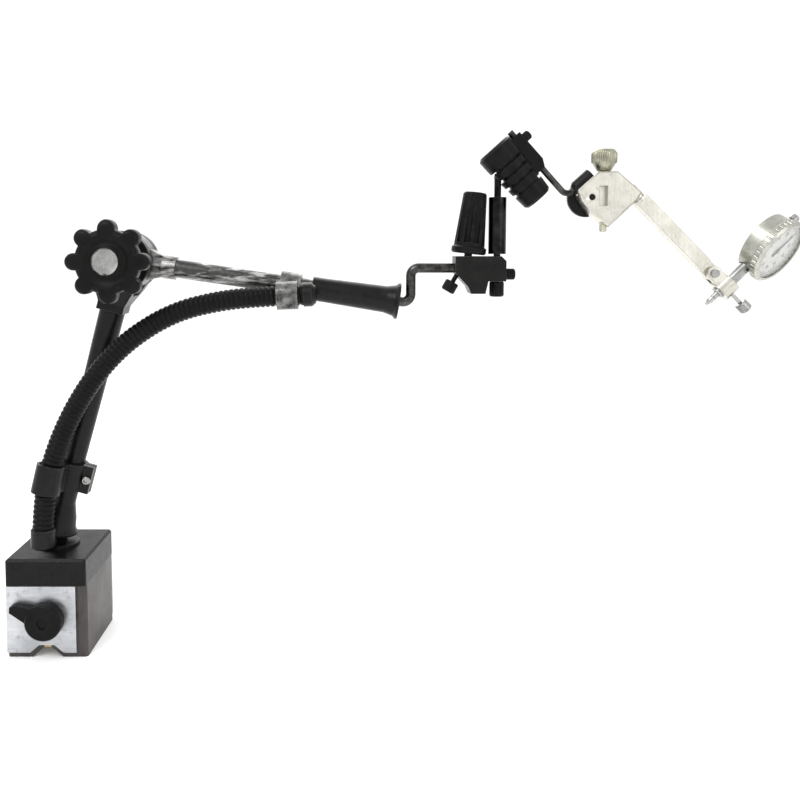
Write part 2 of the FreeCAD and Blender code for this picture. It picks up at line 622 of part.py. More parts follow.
def make_clip(label, run, start, axis, arm_radius, wide, gap, screw_side):
    """A clip round an arm and the hose, at the middle of one run of the hose."""
    low, high = HOSE_ROUTE[run:run + 2]
    middle = (low + high) * 0.5
    heading = (high - low).normalize()
    at = along(start, axis, (middle - start).dot(axis))
    place = placed(at, axis)
    offset = place.Rotation.inverted().multVec(middle - at)
    across = V(-offset.y, offset.x, 0).normalize() * 4.2
    web = [(f"{spot.x:.3f}", f"{spot.y:.3f}") for spot in (across, offset + across, offset - across, -across)]
    band = new_body(label + "_blank", place)
    add_pad(band, wide, circles=[("0", "0", f"{arm_radius}+2.6")], middle=True)
    add_pad(band, wide, outlines=[web], middle=True)
    if screw_side:
        hole = arm_radius + 4.6
        add_pad(band, wide, middle=True, outlines=[box_corners("6.8", "8", x=f"{screw_side}*{arm_radius + 4}")])
        cut_pocket(band, "30", through=True, outlines=[box_corners("9", "1.2", x=f"{screw_side}*{arm_radius + 5}")])
        cut_pocket(band, "30", plane="XZ_Plane", through=True, circles=[(f"{screw_side}*{hole}", "0", "1.6")])
        make_screws(label + "_screw", [place.multVec(V(screw_side * hole, -4, 0))],
                    place.Rotation.multVec(V(0, -1, 0)), 2.8, 1.5, 2.0, 7.6)
    ring = primitive("Part::Cylinder", {"Radius": "hose_rad+2.2", "Height": wide},
                     along(middle, heading, -number(wide) / 2), heading)
    drill(label, boolean("Part::Fuse", None, band, ring), [
        (along(at, axis, -18), axis, f"{arm_radius}+0.35", 36), (along(middle, heading, -18), heading,
                                                                 f"hose_rad+{gap}", 36)])


# ------------------------------------------------------------------ wrist crank
CRANK_HIGH = 242.5
CRANK_RISE = 227.6
CRANK_END = 272.0
BLOCK_LEFT = 255.0
POST = V(282.4, 0, 236.0)


def bent_rod(label, points, radius, bend):
    """A round rod swept along straight runs with bends of one radius."""
    wire, _ = bend_wire(points, bend=bend)
    spine = DOC.addObject("Part::Feature", "Spine")
    spine.Shape = wire
    section = DOC.addObject("Part::Circle", "Section")
    section.Radius = number(radius)
    section.setExpression("Radius", bound(radius))
    section.Placement = placed(points[0], points[1] - points[0])
    sweep = DOC.addObject("Part::Sweep", label or "Rod")
    sweep.Sections = [section]
    sweep.Spine = (spine, [f"Edge{index}" for index in range(1, len(wire.Edges) + 1)])
    sweep.Solid = True
    sweep.Frenet = False
    DOC.recompute()
    if label:
        sweep.Label = label
        PIECES.append(sweep)
    return sweep


def make_crank():
    """The cranked rod whose ball turns in the end of the upper arm."""
    joint = along(WRIST, UPPER, 3)
    turn_up = V(CRANK_RISE, 0, WRIST.z + (CRANK_RISE - WRIST.x) * UPPER.z / UPPER.x)
    rod = bent_rod(None, [joint, turn_up, V(CRANK_RISE, 0, CRANK_HIGH), V(CRANK_END, 0, CRANK_HIGH)], "crank_rad", 5.0)
    ball = primitive("Part::Sphere", {"Radius": "wrist_ball"}, WRIST)
    boolean("Part::Fuse", "crank_rod", rod, ball)


# ------------------------------------------------------------------ first clamp: block, handle, fine-adjust post
def make_thumbscrew(label, tip, axis, reach, head, high, shank="1.5"):
    """A thumbscrew with a fluted head, whose tip touches what it locks."""
    screw = turned(label, [("0", "0.1"), (f"{shank}-0.4", "0.1"), (shank, "0.6"), (shank, str(reach)),
                           (f"{head}-0.6", str(reach)), (head, f"{reach}+0.6"), (head, f"{reach}+{high}-0.8"),
                           (f"{head}-0.8", f"{reach}+{high}"), ("0", f"{reach}+{high}")], placed(tip, axis))
    flute = cut_pocket(screw, high, lift=f"{reach}+{high}", circles=[(str(head), "0", "0.55")])
    repeat_around(screw, flute, 10)
    return screw


LOCK_DIR = V(-0.5, 0, -0.866)


def make_first_clamp():
    """The block on the crank rod, with its handle, its screws and the fine-adjust post."""
    stud_at = V(264.0, 0, 250.4)
    stud_dir = V(0.107, 0, 0.994).normalize()
    clamp = new_body("clamp_blank", placed(V(0, 0, 0)))
    add_pad(clamp, "18", plane="XZ_Plane", middle=True, outlines=[[
        (str(BLOCK_LEFT), "250"), (str(BLOCK_LEFT), "239.6"), ("263", "231"), ("265", "226.4"), ("274", "226.4"),
        ("275.8", "234.2"), ("287", "234.2"), ("287", "247"), ("284", "250")]])
    stud = primitive("Part::Cylinder", {"Radius": "2.5", "Height": "25.4"}, stud_at - stud_dir * 1.4, stud_dir)
    clamp = boolean("Part::Fuse", None, clamp, stud)
    screw_at = along(V(259.4, 0, CRANK_HIGH), LOCK_DIR, 4.6)
    drill("clamp_block", clamp, [(V(CRANK_END + 1, 0, CRANK_HIGH), -RIGHT, "crank_rad+run_gap", 30),
                                 (POST - UP * 5, UP, "post_rad+run_gap", 30),
                                 (screw_at - LOCK_DIR * 3, LOCK_DIR, "1.5+run_gap", 14),
                                 (POST + V(0, 0, 2.6), RIGHT, "1.5+run_gap", 12)])
    grip = turned("clamp_handle", [
        ("0", "26"), ("2.5+run_gap", "26"), ("2.5+run_gap", "1.2"), ("grip_foot-1", "1.2"),
        ("grip_foot", "2.2"), ("grip_foot", "5"),
        ("grip_foot-1.2", "6"), ("grip_top", "grip_high-1"), ("grip_top-0.8", "grip_high"), ("0", "grip_high")],
        placed(stud_at, stud_dir))
    flute = cut_pocket(grip, "grip_high-8", lift="grip_high", circles=[("grip_top+1.6", "0", "2")])
    repeat_around(grip, flute, 10)
    make_thumbscrew("crank_lock_screw", screw_at, LOCK_DIR, 5.6, 4.4, 7)
    make_thumbscrew("post_lock_screw", POST + V(DIMS["post_rad"] + 0.25, 0, 2.6), RIGHT, 3, 3.6, 6)
    make_thumbscrew("fine_adjust_screw", V(POST.x, 0, 238.4), -UP, 4.6, 4.6, 9.5, "1.1")


# ------------------------------------------------------------------ fine-adjust post and ribbed barrel
BARREL = V(293.7, 0, 302.2)
BARREL_DIR = V(0.672, 0, -0.741).normalize()
BARREL_SIDE = V(0.741, 0, 0.672).normalize()
LINK_OFF = 14.4


def make_barrel():
    """The post, and the ribbed barrel that swivels on its top and holds the bent link in a side lug."""
    post = turned("fine_adjust_post", rod_profile("post_rad", "0", "66"), placed(POST))
    cut_pocket(post, "6", lift="6", circles=[("0", "0", "1.16")])
    add_pad(post, "sleeve_high", lift="sleeve_low", circles=[("0", "0", "sleeve_rad")])
    half = "barrel_long/2"
    barrel = turned("barrel_blank", [("0", f"-{half}"), ("barrel_big-2", f"-{half}"), ("barrel_big", f"-{half}+1.6"),
                                     ("barrel_big", f"-{half}+9"), ("barrel_small", f"{half}-1.4"),
                                     ("barrel_small-1.4", half), ("0", half)],
                    placed(BARREL, BARREL_DIR, BARREL_SIDE))
    for step in range(4):
        low = -9.5 + 6.4 * step
        cut_groove(barrel, [("barrel_small-0.9", str(low)), ("barrel_big+1", str(low)),
                            ("barrel_big+1", str(low + 2.2)), ("barrel_small-0.9", str(low + 2.2))])
    add_pad(barrel, "9", plane="XZ_Plane", middle=True, outlines=[[
        ("4", "-18"), (str(LINK_OFF + 3.6), "-18"), (str(LINK_OFF + 3.6), "4"), (str(LINK_OFF + 1), "9"),
        ("4", "9")]])
    link_at = along(along(BARREL, BARREL_SIDE, LINK_OFF), BARREL_DIR, -26)
    knob_at = along(along(BARREL, BARREL_SIDE, LINK_OFF + 2.25), BARREL_DIR, -13)
    drill("ribbed_barrel", barrel, [(POST, UP, "post_rad+run_gap", 66.2),
                                    (link_at, BARREL_DIR, "link_rad+run_gap", 40),
                                    (along(knob_at, BARREL_SIDE, -1), BARREL_SIDE, "1.2+run_gap", 5)])
    make_thumbscrew("link_lock_screw", knob_at, BARREL_SIDE, 1.7, 3.0, 4.6, "1.2")


# ------------------------------------------------------------------ bent link and second clamp
HEAD = V(340.5, 0, 287.0)
LINK_RISE = V(0.74, 0, 0.672).normalize()
BAR_DIR = V(1, 0, -1).normalize()
STEM_DIR = V(-1, 0, -1).normalize()
DIAL = V(454.3, 0.0, 257.2)
DIAL_DIR = V(0.518, -0.68, -0.518).normalize()
STEM_SPOT = 37.5
CASE_LIFT = 2.4
TILT = along(along(DIAL, STEM_DIR, STEM_SPOT), BAR_DIR, -12)
BAR_START = along(TILT, BAR_DIR, -DIMS["bar_pivot"])


def make_link():
    """The bent link rod from the barrel's lug to the second clamp."""
    start = along(along(BARREL, BARREL_SIDE, LINK_OFF), BARREL_DIR, -22)
    corner = along(start, BARREL_DIR, 54.5)
    bent_rod("bent_link", [start, corner, along(corner, LINK_RISE, 19.4)], "link_rad", 5.0)
    return corner


def make_second_clamp(corner):
    """The bright clamp block, its collar on the link, its clamp screw with a knurled knob, and its backing disc."""
    body = new_body("second_blank", placed(V(0, 0, 0)))
    add_pad(body, "14", plane="XZ_Plane", middle=True, outlines=[[
        ("331.7", "291.5"), ("342.4", "301.2"), ("344.5", "303.2"), ("356.5", "303.2"), ("372", "290"),
        ("369", "285.2"), ("351.5", "268.4"), ("341.5", "276"), ("334.5", "284.6")]])
    ease_edges(body, "1.0", lambda edge: edge.BoundBox.YLength < 0.01)
    cut_pocket(body, "3.5", plane="XZ_Plane", lift="7", outlines=[box_corners("5", "12.4", x="347.6", y="287.8")])
    screw_x = 349.5
    collar_at = along(corner, LINK_RISE, 5.8)
    drill("second_clamp", body, [(collar_at - LINK_RISE * 2, LINK_RISE, "collar_rad+0.02", 16.6),
                                 (V(screw_x, 0, 260), UP, "2.4", 60),
                                 (BAR_START - BAR_DIR * 1.2, BAR_DIR, "4+run_gap", 20),
                                 (V(HEAD.x, -12, HEAD.z), -FRONT, "2", 24)])
    turned("link_collar", [("link_rad+run_gap", "0"), ("collar_rad-1.4", "0"), ("collar_rad", "2.4"),
                           ("collar_rad", "14.5"), ("link_rad+run_gap", "14.5")], placed(collar_at, LINK_RISE))
    turned("second_clamp_screw", [
        ("0", "265.4"), ("1.8", "265.4"), ("2.34", "266"), ("2.34", "303.6"), ("4.4", "303.6"), ("8", "308.6"),
        ("8", "315"), ("6.6", "317"), ("0", "317.8")], placed(V(screw_x, 0, 0)))
    turned("second_clamp_disc", [("0", "-6.5"), ("1.96", "-6.5"), ("1.96", "7.1"), ("12", "7.1"), ("12", "9.6"),
                                 ("5", "9.9"), ("4.4", "12.6"), ("0", "12.6")], placed(HEAD, -FRONT))


def make_bar():
    """The bright bar between the second clamp and the stem clamp."""
    bar = turned("swivel_bar", [("0", "0"), ("4", "0"), ("4", "9"), ("4.8", "9"), ("4.8", "11"), ("0", "11")],
                 placed(BAR_START, BAR_DIR))
    add_pad(bar, "bar_flat-9", lift="9", outlines=[box_corners("8.8", "8")])
    add_pad(bar, "4", plane="XZ_Plane", middle=True, circles=[("0", "bar_pivot", "4.5")])
    add_pad(bar, "4", plane="XZ_Plane", middle=True, outlines=[box_corners("9", "bar_pivot-bar_flat+1",
                                                                           y="(bar_pivot+bar_flat-1)/2")])
    cut_pocket(bar, "20", plane="XZ_Plane", through=True, circles=[("0", "bar_pivot", "1.6+run_gap")])
    return bar


# ------------------------------------------------------------------ stem clamp
def make_stem_clamp():
    """The forked clamp round the dial's stem, its tilt pin and its lock screw."""
    at = along(DIAL, STEM_DIR, STEM_SPOT)
    place = placed(at, -BAR_DIR, STEM_DIR)
    clamp = new_body("stem_clamp_blank", place)
    add_pad(clamp, "10", plane="YZ_Plane", middle=True, circles=[("0", "0", "7.2")])
    add_pad(clamp, "11", plane="XZ_Plane", middle=True, outlines=[box_corners("9", "8", y="8")])
    add_pad(clamp, "11", plane="XZ_Plane", middle=True, circles=[("0", "12", "4.5")])
    cut_pocket(clamp, "30", plane="YZ_Plane", through=True, outlines=[box_corners("4.2", "12", y="13.4")])
    cut_pocket(clamp, "30", plane="XZ_Plane", through=True, circles=[("0", "12", "1.6")])
    cut_pocket(clamp, "30", plane="YZ_Plane", through=True, circles=[("0", "0", "stem_rad+run_gap")])
    drill("stem_clamp", clamp, [(place.multVec(V(0, 0, -3)), BAR_DIR, "1.2+run_gap", 8)])
    pivot = place.multVec(V(0, 0, 12))
    turned("tilt_pin", [("0", "-6.8"), ("2.6", "-6.8"), ("2.6", "-5.55"), ("1.58", "-5.55"), ("1.58", "5.55"),
                        ("2.6", "5.55"), ("2.6", "6.8"), ("0", "6.8")], placed(pivot, FRONT))
    make_thumbscrew("stem_lock_screw", place.multVec(V(0, 0, -4.2)), BAR_DIR, 10.5, 4.0, 6.5, "1.2")


# ------------------------------------------------------------------ dial indicator
def make_case():
    """The indicator's fixed shell: case ring, back cover, inner plates, stem and top bush."""
    face = placed(along(DIAL, DIAL_DIR, CASE_LIFT), DIAL_DIR, STEM_DIR)
    ring = turned("case_blank", [("18.2", "-6.9"), ("case_rad-0.3", "-6.9"), ("case_rad", "-6.6"),
                                 ("case_rad", "2.2"), ("19", "2.2"), ("19", "3"), ("16.5", "3"), ("16.5", "2.2"),
                                 ("18.2", "2.2")], face)
    drill("dial_case", ring, [(along(DIAL, STEM_DIR, 15), STEM_DIR, "stem_rad", 10),
                              (along(DIAL, -STEM_DIR, 15), -STEM_DIR, "plunger_rad+run_gap", 10)])
    cover = turned("dial_back_cover", [("0", "-7.6"), ("17", "-7.6"), ("18.1", "-6.9"), ("18.1", "-5.4"),
                                       ("0", "-5.4")], face)
    cut_groove(cover, [("14", "-8"), ("15", "-8"), ("15", "-7.2"), ("14", "-7.2")])
    bridge = new_body("dial_bridge", face)
    add_pad(bridge, "0.4", lift="3.02", circles=[("0", "0", "18.7")])
    cut_pocket(bridge, "1", lift="3.5", circles=[("0", "0", "0.46")])
    turned("dial_stem", [("plunger_rad+run_gap", "18.3"), ("stem_rad-0.02", "18.3"), ("stem_rad-0.02", "stem_end-0.6"),
                         ("stem_rad-0.6", "stem_end"), ("plunger_rad+run_gap", "stem_end")],
           placed(DIAL, STEM_DIR))
    return face


def make_movement(face):
    """The plunger with its tip and cap, the gear it drives, and the hand on the centre arbor."""
    turned("plunger", [("0", "-25.4"), ("2.4", "-25.4"), ("3", "-24.6"), ("3", "-22"), ("plunger_rad", "-22"),
                       ("plunger_rad", "plunger_end-6.4"), ("0", "plunger_end-6.4")], placed(DIAL, STEM_DIR))
    turned("contact_point", [("0", "plunger_end-6.35"), ("2", "plunger_end-6.35"), ("2", "plunger_end-3.4"),
                             ("1.1", "plunger_end-1.6"), ("0.9", "plunger_end-0.4"), ("0", "plunger_end")],
           placed(DIAL, STEM_DIR))
    across = number("plunger_rad+rack_pinion+0.05")
    centre_gap = number("train_gear+centre_pinion+0.05")
    up = math.sqrt(centre_gap ** 2 - across ** 2)
    gear_at = face.multVec(V(-up, -across, 0))
    gear = turned("train_gear", [("0", "-5"), ("0.5", "-5"), ("0.5", "-4.4"), ("rack_pinion", "-4.4"),
                                 ("rack_pinion", "0.2"), ("1.6", "0.2"), ("1.6", "0.8"), ("train_gear", "0.8"),
                                 ("train_gear", "1.4"), ("0", "1.4")], placed(gear_at, DIAL_DIR, STEM_DIR))
    window = cut_pocket(gear, "0.7", lift="1.45", circles=[("4", "0", "1.3")])
    repeat_around(gear, window, 5)
    arbor = turned("centre_arbor", [("0", "0.8"), ("centre_pinion", "0.8"), ("centre_pinion", "1.5"),
                                    ("0.4", "1.5"), ("0.4", "5.4"), ("0", "5.4")], face)
    hand = new_body("pointer_hand", face)
    add_pad(hand, "0.6", lift="4.8", circles=[("0", "0", "1.6")])
    add_pad(hand, "0.35", lift="4.9", outlines=[[("-15.8", "0.15"), ("-15.8", "-0.15"), ("0", "-0.75"),
                                                 ("4.6", "-0.9"), ("4.6", "0.9"), ("0", "0.75")]])
    cut_pocket(hand, "2", lift="5.5", circles=[("0", "0", "0.42")])
    return arbor


def make_bezel(face):
    """The turning bezel with its crystal and the dial face that turns with it."""
    bezel = turned("bezel_ring", [("19.06", "2.4"), ("bezel_rad-0.4", "2.4"), ("bezel_rad", "2.9"),
                                  ("bezel_rad", "6.4"), ("bezel_rad-1.5", "8"), ("18.4", "8"), ("18.4", "7.35"),
                                  ("19.4", "7.35"), ("19.4", "3.6"), ("19.06", "3.6")], face)
    flute = cut_pocket(bezel, "3.5", lift="6.6", circles=[("bezel_rad+0.35", "0", "0.8")])
    repeat_around(bezel, flute, 40)
    turned("crystal", [("0", "6.5"), ("19.36", "6.5"), ("19.36", "7.3"), ("0", "7.3")], face)
    dial = new_body("dial_face", face)
    add_pad(dial, "0.6", lift="3.75", circles=[("0", "0", "19.36")])
    cut_pocket(dial, "2", lift="4.5", circles=[("0", "0", "1")])


# ------------------------------------------------------------------ the whole stand
def check_and_write():
    """Check every object and write each sub-part's solids."""
    DOC.recompute()
    for item in DOC.Objects:
        if "Invalid" in item.State or "Error" in item.State:
            raise RuntimeError(f"{item.Name} of the document has failed: {item.State}")
    os.makedirs("parts", exist_ok=True)
    for piece in PIECES:
        shape = piece.Shape
        if shape.isNull() or not shape.isValid() or shape.Volume <= 0:
            raise RuntimeError(f"{piece.Label} has no valid shape")
        shape.exportStep(f"parts/{piece.Label}.step")
    print(len(PIECES), "sub-parts written")


make_base()
make_switch()
make_lower_arm()
make_elbow_fittings()
make_upper_arm()
make_hose()
make_hose_fittings()
make_clip("lower_clip", 1, FOOT, LOWER, 6.85, "lower_clip_wide", 0.7, 1)
make_clip("upper_clip", 8, ELBOW, UPPER, 5.8, "upper_clip_wide", 0.45, 0)
make_crank()
make_first_clamp()
make_barrel()
make_second_clamp(make_link())
make_bar()
make_stem_clamp()
dial_frame = make_case()
make_movement(dial_frame)
make_bezel(dial_frame)
check_and_write()
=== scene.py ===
"""Looks of the dial indicator on its switchable magnetic base: finer pieces, materials, light and camera."""
import json
import math

import bmesh
import bpy
from mathutils import Matrix, Vector


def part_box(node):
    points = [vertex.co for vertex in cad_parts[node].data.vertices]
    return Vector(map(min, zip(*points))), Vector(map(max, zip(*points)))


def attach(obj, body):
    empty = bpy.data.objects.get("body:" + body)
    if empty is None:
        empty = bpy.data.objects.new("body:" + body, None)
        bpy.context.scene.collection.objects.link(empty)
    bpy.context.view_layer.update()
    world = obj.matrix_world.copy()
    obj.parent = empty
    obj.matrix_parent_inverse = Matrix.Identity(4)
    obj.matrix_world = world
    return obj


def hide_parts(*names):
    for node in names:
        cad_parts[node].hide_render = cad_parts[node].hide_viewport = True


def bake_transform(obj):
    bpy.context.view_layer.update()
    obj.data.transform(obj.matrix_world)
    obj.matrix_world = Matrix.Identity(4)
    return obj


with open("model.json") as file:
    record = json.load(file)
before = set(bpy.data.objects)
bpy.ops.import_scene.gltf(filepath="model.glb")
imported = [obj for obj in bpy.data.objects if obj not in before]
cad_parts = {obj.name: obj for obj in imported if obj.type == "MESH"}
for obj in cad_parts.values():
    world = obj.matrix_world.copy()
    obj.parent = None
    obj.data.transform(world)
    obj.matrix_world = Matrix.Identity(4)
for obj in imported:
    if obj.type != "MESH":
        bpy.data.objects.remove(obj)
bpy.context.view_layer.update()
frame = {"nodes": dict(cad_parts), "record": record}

MM = 0.001
NODES = frame["nodes"]
JOINTS = {joint["name"]: joint for joint in frame["record"]["behaviour"]["joints"]}
SLOT_OF = {row["node"]: row["material_slot"] for row in frame["record"]["subparts"]}
SCENE = bpy.context.scene


# ------------------------------------------------------------------ materials
class Paint:
    """A node material: a Principled shader with helpers that chain procedural nodes into it."""

    def __init__(self, name, **values):
        self.material = bpy.data.materials.new(name)
        self.material.use_nodes = True
        self.tree = self.material.node_tree
        self.shader = self.tree.nodes["Principled BSDF"]
        for socket, value in values.items():
            self.shader.inputs[socket.replace("_", " ")].default_value = value
        self.place = self.tree.nodes.new("ShaderNodeTexCoord").outputs["Object"]

    def node(self, kind, settings=None, **inputs):
        """A node with its settings and inputs; an input is a value or another node's output."""
        made = self.tree.nodes.new(kind)
        for key, value in (settings or {}).items():
            setattr(made, key, value)
        for key, value in inputs.items():
            socket = made.inputs[int(key[1:])] if key[0] == "i" and key[1:].isdigit() else made.inputs[
                key.replace("_", " ")]
            if isinstance(value, bpy.types.NodeSocket):
                self.tree.links.new(value, socket)
            else:
                socket.default_value = value
        return made

    def stretched(self, scale, turn=(0, 0, 0)):
        """The object's coordinates, turned and scaled for a grain that runs one way."""
        return self.node("ShaderNodeMapping", Vector=self.place, Rotation=turn, Scale=scale).outputs["Vector"]

    def noise(self, scale, detail=4.0, rough=0.55, place=None):
        """A cloud from 0 to 1; scale is in clouds per metre."""
        return self.node("ShaderNodeTexNoise", Vector=place or self.place, Scale=scale, Detail=detail,
                         Roughness=rough).outputs["Fac"]

    def spread(self, value, low, high, to_low=0.0, to_high=1.0):
        """The value's span from low to high carried to another span."""
        return self.node("ShaderNodeMapRange", Value=value, From_Min=low, From_Max=high, To_Min=to_low,
                         To_Max=to_high).outputs["Result"]

    def mix(self, share, first, second):
        """Two colours mixed by a share."""
        made = self.node("ShaderNodeMix", {"data_type": "RGBA"}, i0=share)
        for index, colour in ((6, first), (7, second)):
            if isinstance(colour, bpy.types.NodeSocket):
                self.tree.links.new(colour, made.inputs[index])
            else:
                made.inputs[index].default_value = (*colour, 1)
        return made.outputs[2]

    def times(self, first, second, kind="MULTIPLY"):
        """Two values combined by a maths node."""
        return self.node("ShaderNodeMath", {"operation": kind}, i0=first, i1=second).outputs[0]

    def edges(self, radius):
        """1 where the surface turns sharply within the radius, and 0 where it is flat."""
        soft = self.node("ShaderNodeBevel", {"samples": 4}, Radius=radius).outputs["Normal"]
        true = self.node("ShaderNodeNewGeometry").outputs["Normal"]
        same = self.node("ShaderNodeVectorMath", {"operation": "DOT_PRODUCT"}, i0=soft,
                         i1=true).outputs["Value"]
        return self.spread(same, 0.985, 0.82)

    def finish(self, colour=None, rough=None, height=None, depth=0.00005, metal=None):
        """Link what is given to the shader, the height through a bump."""
        links = self.tree.links
        for value, socket in ((colour, "Base Color"), (rough, "Roughness"), (metal, "Metallic")):
            if value is not None:
                links.new(value, self.shader.inputs[socket])
        if height is not None:
            bump = self.node("ShaderNodeBump", Height=height, Distance=depth, Strength=1.0)
            links.new(bump.outputs["Normal"], self.shader.inputs["Normal"])
        return self.material


def worn_metal(name, dark, light, rough, grain=(1, 1, 1), cloud=90, tarnish=None, edge_shade=None):
    """Bare or plated metal: cloudy colour, a directional grain in its gloss and bump, and worn, lighter edges,
    or edges darkened with painted shade where a dark edge colour is given.
    """
    paint = Paint(name, Metallic=1.0)
    clouds = paint.spread(paint.noise(cloud, 5.0), 0.35, 0.68)
    lines = paint.noise(900, 3.0, place=paint.stretched(grain))
    colour = paint.mix(clouds, dark, light)
    colour = paint.mix(paint.times(paint.spread(lines, 0.3, 0.7), 0.25), colour, [c * 0.6 for c in dark])
    if tarnish:
        spots = paint.spread(paint.noise(cloud * 3, 6.0, 0.7), 0.56, 0.68)
        colour = paint.mix(paint.times(spots, 0.7), colour, tarnish)
    # A given edge colour is painted shade, a dark outline along the rounded edges; without one the edges are
    # lightened as worn metal.
    edge_wear_and_shade = edge_shade or [min(1, c * 1.15 + 0.08) for c in light]
    colour = paint.mix(paint.times(paint.edges(0.0012 if edge_shade else 0.0006), 0.5), colour, edge_wear_and_shade)
    gloss = paint.times(paint.spread(lines, 0.3, 0.7, rough * 0.75, rough * 1.25),
                        paint.spread(clouds, 0, 1, 0.9, 1.15))
    return paint.finish(colour, gloss, lines, 0.00003)


def coated_metal(name, base, worn, rough, cloud=120, chips=0.62, pits=1400, depth=0.00004, coat=0.03,
                 streak=None, run=(0.16, 1, 1), runs_at=(0.52, 0.66), shine=0.1, metal=0.0):
    """Painted or blackened metal: a fine orange-peel coat, mottled, and rubbed through along its edges."""
    paint = Paint(name, Metallic=metal, Coat_Weight=coat, Coat_Roughness=0.25,
                  Specular_IOR_Level=shine)
    clouds = paint.noise(cloud, 6.0, 0.6)
    fine = paint.noise(pits, 3.0)
    colour = paint.mix(paint.spread(clouds, 0.35, 0.7), base, [c * 1.7 + 0.001 for c in base])
    if streak:
        runs = paint.noise(260, 5.0, 0.65, paint.stretched(run, streak))
        colour = paint.mix(paint.times(paint.spread(runs, *runs_at), 0.8), colour, worn)
    rubbed = paint.times(paint.edges(0.0008), paint.spread(paint.noise(420, 5.0, 0.7), 0.4, chips))
    flecks = paint.spread(paint.noise(520, 6.0, 0.75), chips + 0.05, chips + 0.12)
    share = paint.times(rubbed, paint.times(flecks, 0.5), "MAXIMUM")
    colour = paint.mix(paint.times(share, 0.75), colour, worn)
    gloss = paint.spread(clouds, 0.3, 0.75, rough * 0.8, rough * 1.3)
    return paint.finish(colour, gloss, fine, depth)


def moulded(name, base, rough, depth=0.00005, grain=1900, scuff=(0.12, 0.12, 0.12)):
    """Moulded plastic or rubber: a fine leather-like grain and dull scuffs on its edges."""
    paint = Paint(name, Specular_IOR_Level=0.1)
    cells = paint.node("ShaderNodeTexVoronoi", {"feature": "SMOOTH_F1"}, Vector=paint.place,
                       Scale=grain).outputs["Distance"]
    clouds = paint.noise(150, 5.0)
    colour = paint.mix(paint.spread(clouds, 0.3, 0.75), base, [c * 1.7 + 0.001 for c in base])
    worn = paint.times(paint.edges(0.0007), paint.spread(paint.noise(380, 4.0, 0.7), 0.42, 0.62))
    colour = paint.mix(paint.times(worn, 0.6), colour, scuff)
    gloss = paint.times(paint.spread(clouds, 0.3, 0.75, rough * 0.85, rough * 1.2),
                        paint.spread(worn, 0, 1, 1, 1.3))
    return paint.finish(colour, gloss, cells, depth)


def bare_neck(name, centre):
    """Black around a joint's centre, and worn to streaky bright metal further out."""
    paint = Paint(name, Metallic=0.5, Specular_IOR_Level=0.4)
    away = paint.node("ShaderNodeVectorMath", {"operation": "DISTANCE"}, i0=paint.place,
                      i1=tuple(centre)).outputs["Value"]
    streaks = paint.noise(260, 5.0, 0.65, paint.stretched((0.2, 1, 1), (0, 0.147, 0)))
    share = paint.times(paint.spread(away, 0.018, 0.021), paint.spread(streaks, 0.40, 0.60))
    colour = paint.mix(share, (0.006, 0.006, 0.006), (0.52, 0.51, 0.50))
    return paint.finish(colour, paint.spread(streaks, 0.3, 0.7, 0.25, 0.45), paint.noise(1400, 3.0), 0.00003)


def dial_card(name, ink, paper):
    """The dial's matt painted card, slightly mottled."""
    paint = Paint(name, Roughness=0.6)
    clouds = paint.noise(300, 5.0)
    colour = paint.mix(paint.times(paint.spread(clouds, 0.4, 0.7), 0.2), paper, ink)
    return paint.finish(colour, None, paint.noise(2500, 2.0), 0.00001)


def clear_glass(name):
    """The dial's clear crystal, with a faint smear in its gloss."""
    paint = Paint(name, Base_Color=(1, 1, 1, 1), Transmission_Weight=1.0, IOR=1.46, Roughness=0.02)
    return paint.finish(None, paint.spread(paint.noise(120, 4.0), 0.4, 0.75, 0.015, 0.09))
